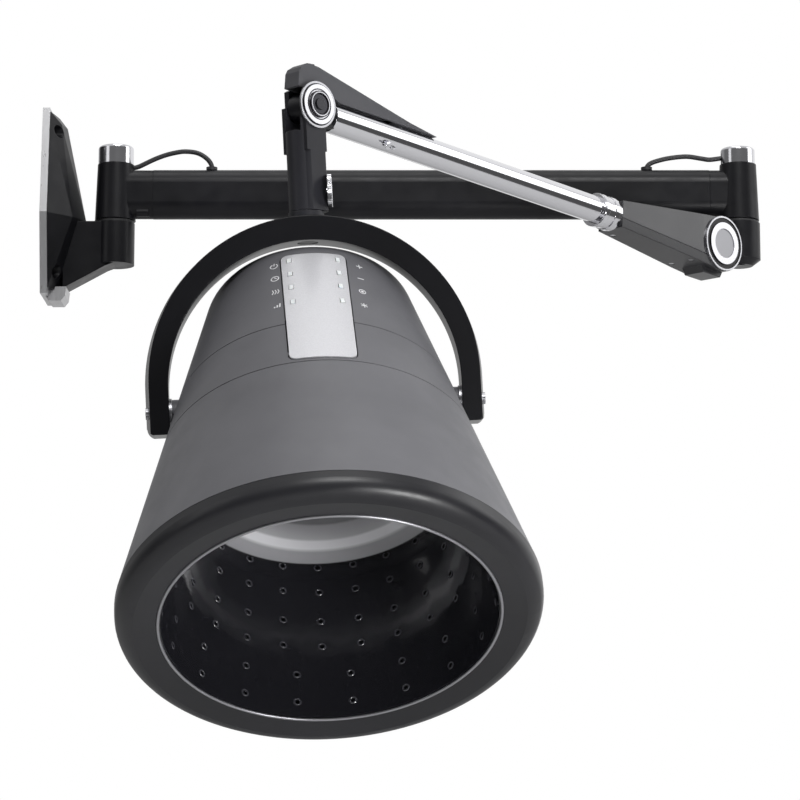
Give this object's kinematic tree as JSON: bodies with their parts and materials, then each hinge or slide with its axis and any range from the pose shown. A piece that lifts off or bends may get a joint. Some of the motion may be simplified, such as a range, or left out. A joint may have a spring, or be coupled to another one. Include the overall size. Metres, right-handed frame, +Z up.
{
  "type": "wall-mounted hair steamer",
  "caption": "Wall-mounted hair steamer: bell-shaped hood on a tilting yoke, hung from a two-part jointed arm that swings on a wall bracket.",
  "frame": {"origin": "centre of the wall plate's back face, on the wall", "axes": "+X out of the wall along the first arm at rest, +Z up, -Y the side the picture shows"},
  "size_m": [0.714, 0.7155, 0.6396],
  "materials": {
    "plate_steel": "satin",
    "black_paint": "satin",
    "steel": "satin",
    "washer_black": "matte",
    "chrome": "polished",
    "cap_chrome": "polished, metal-plated",
    "bush_brass": "satin",
    "cable_rubber": "matte",
    "housing_black": "gloss",
    "cover_black": "satin",
    "tongue_paint": "satin",
    "cover_grey": "matte",
    "hanger_grey": "satin",
    "head_grey": "satin",
    "rim_black": "satin",
    "hood_black": "gloss",
    "panel_silver": "satin, silver painted",
    "inner_black": "matte",
    "key_white": "satin",
    "boiler_alu": "plain",
    "tank_clear": "satin"
  },
  "bodies": {
    "wall": {"wall_plate": "plate_steel", "wall_bracket": "black_paint", "plate_screws": "steel", "wall_spindle": "steel", "wall_washer": "washer_black"},
    "arm1": {"arm1_wall_hub": "black_paint", "arm1_tube": "black_paint", "arm1_elbow_hub": "black_paint", "wall_cap": "cap_chrome", "elbow_cap": "cap_chrome", "hub_bushes": "bush_brass", "grommets": "cable_rubber", "wall_cable": "cable_rubber", "elbow_cable": "cable_rubber"},
    "elbow": {"elbow_knuckle": "black_paint", "elbow_spindle": "steel", "elbow_washer": "washer_black"},
    "arm2": {"housing_upper": "housing_black", "housing_lower": "cover_black", "housing_screws": "steel", "arm2_collar": "chrome", "arm2_tube": "chrome", "arm2_tongue": "tongue_paint", "hood_cover": "cover_grey", "elbow_rings": "chrome", "elbow_discs": "housing_black", "elbow_pin": "steel", "strut_body": "tongue_paint"},
    "strut_rod": {"strut_rod": "steel"},
    "level_link": {"level_link": "steel"},
    "thumb_screw": {"thumb_screw": "chrome"},
    "hanger": {"hanger": "hanger_grey", "tip_pin": "steel", "tip_rings": "chrome"},
    "friction_knob": {"friction_knob": "chrome"},
    "yoke": {"yoke": "black_paint", "yoke_stem": "steel", "trunnion_pins": "steel"},
    "head": {"head_top_shell": "head_grey", "head_band": "head_grey", "head_skirt": "head_grey", "head_rim": "rim_black", "lip_ring": "chrome", "inner_hood": "hood_black", "panel_plate": "panel_silver", "panel_tray": "inner_black", "chassis": "steel", "boiler": "boiler_alu", "heater": "steel", "water_tank": "tank_clear", "fan_motor": "inner_black"},
    "fan": {"fan_impeller": "inner_black"},
    "key_1": {"key_1": "key_white"},
    "key_2": {"key_2": "key_white"},
    "key_3": {"key_3": "key_white"},
    "key_4": {"key_4": "key_white"},
    "key_5": {"key_5": "key_white"},
    "key_6": {"key_6": "key_white"},
    "key_7": {"key_7": "key_white"},
    "key_8": {"key_8": "key_white"}
  },
  "joints": [
    {"name": "arm1_swing", "type": "hinge", "parent": "wall", "child": "arm1", "pos_m": [0.07, 0, 0], "axis": [0, 0, 1], "range_deg": [-85, 85]},
    {"name": "elbow_swing", "type": "hinge", "parent": "arm1", "child": "elbow", "pos_m": [0.693, 0, 0], "axis": [0, 0, 1], "range_deg": [-10, 130]},
    {"name": "arm2_lift", "type": "hinge", "parent": "elbow", "child": "arm2", "pos_m": [0.65734, -0.03504, -0.0473], "axis": [-0.7009, 0.7133, 0], "range_deg": [-35, 30]},
    {"name": "hanger_level", "type": "hinge", "parent": "arm2", "child": "hanger", "pos_m": [0.27266, -0.41307, -0.00485], "axis": [-0.7009, 0.7133, 0], "range_deg": [-30, 35]},
    {"name": "strut_slide", "type": "slide", "parent": "arm2", "child": "strut_rod", "axis": [-0.7111, -0.6987, 0.0785], "range_m": [-0.005, 0.006]},
    {"name": "link_slide", "type": "slide", "parent": "arm2", "child": "level_link", "axis": [-0.7111, -0.6987, 0.0785], "range_m": [-0.005, 0.006]},
    {"name": "thumb_turn", "type": "hinge", "parent": "arm2", "child": "thumb_screw", "pos_m": [0.3431, -0.35653, -0.02281], "axis": [0.456, -0.5432, -0.7049], "range_deg": [-180, 180]},
    {"name": "yoke_swivel", "type": "hinge", "parent": "hanger", "child": "yoke", "pos_m": [0.27391, -0.41184, -0.09697], "axis": [-0.0522, -0.0513, 0.9973], "range_deg": [-90, 90]},
    {"name": "knob_turn", "type": "hinge", "parent": "hanger", "child": "friction_knob", "pos_m": [0.27297, -0.41276, -0.07902], "axis": [0.9986, -0.0013, 0.0522], "range_deg": [-180, 180]},
    {"name": "head_tilt", "type": "hinge", "parent": "yoke", "child": "head", "pos_m": [0.28266, -0.40324, -0.26402], "axis": [-0.9975, -0.0457, -0.0546], "range_deg": [-44, 41]},
    {"name": "fan_spin", "type": "hinge", "parent": "head", "child": "fan", "pos_m": [0.28316, -0.44261, -0.24023], "axis": [-0.0704, 0.5153, 0.8541], "continuous": true},
    {"name": "key_1_press", "type": "slide", "parent": "head", "child": "key_1", "axis": [0.1849, 0.6859, -0.7038], "range_m": [0, 0.0008], "stiffness_N_per_m": 300},
    {"name": "key_2_press", "type": "slide", "parent": "head", "child": "key_2", "axis": [0.1734, 0.6872, -0.7055], "range_m": [0, 0.0008], "stiffness_N_per_m": 300},
    {"name": "key_3_press", "type": "slide", "parent": "head", "child": "key_3", "axis": [0.1631, 0.6882, -0.707], "range_m": [0, 0.0008], "stiffness_N_per_m": 300},
    {"name": "key_4_press", "type": "slide", "parent": "head", "child": "key_4", "axis": [0.1529, 0.6891, -0.7083], "range_m": [0, 0.0008], "stiffness_N_per_m": 300},
    {"name": "key_5_press", "type": "slide", "parent": "head", "child": "key_5", "axis": [-0.2343, 0.6541, -0.7192], "range_m": [0, 0.0008], "stiffness_N_per_m": 300},
    {"name": "key_6_press", "type": "slide", "parent": "head", "child": "key_6", "axis": [-0.2231, 0.6571, -0.72], "range_m": [0, 0.0008], "stiffness_N_per_m": 300},
    {"name": "key_7_press", "type": "slide", "parent": "head", "child": "key_7", "axis": [-0.213, 0.6597, -0.7207], "range_m": [0, 0.0008], "stiffness_N_per_m": 300},
    {"name": "key_8_press", "type": "slide", "parent": "head", "child": "key_8", "axis": [-0.203, 0.6621, -0.7214], "range_m": [0, 0.0008], "stiffness_N_per_m": 300}
  ],
  "couplings": [
    {"joint": "hanger_level", "follows": "arm2_lift", "ratio": -1},
    {"joint": "strut_slide", "follows": "arm2_lift", "m_per_rad": -0.0085},
    {"joint": "link_slide", "follows": "arm2_lift", "m_per_rad": -0.0085}
  ]
}
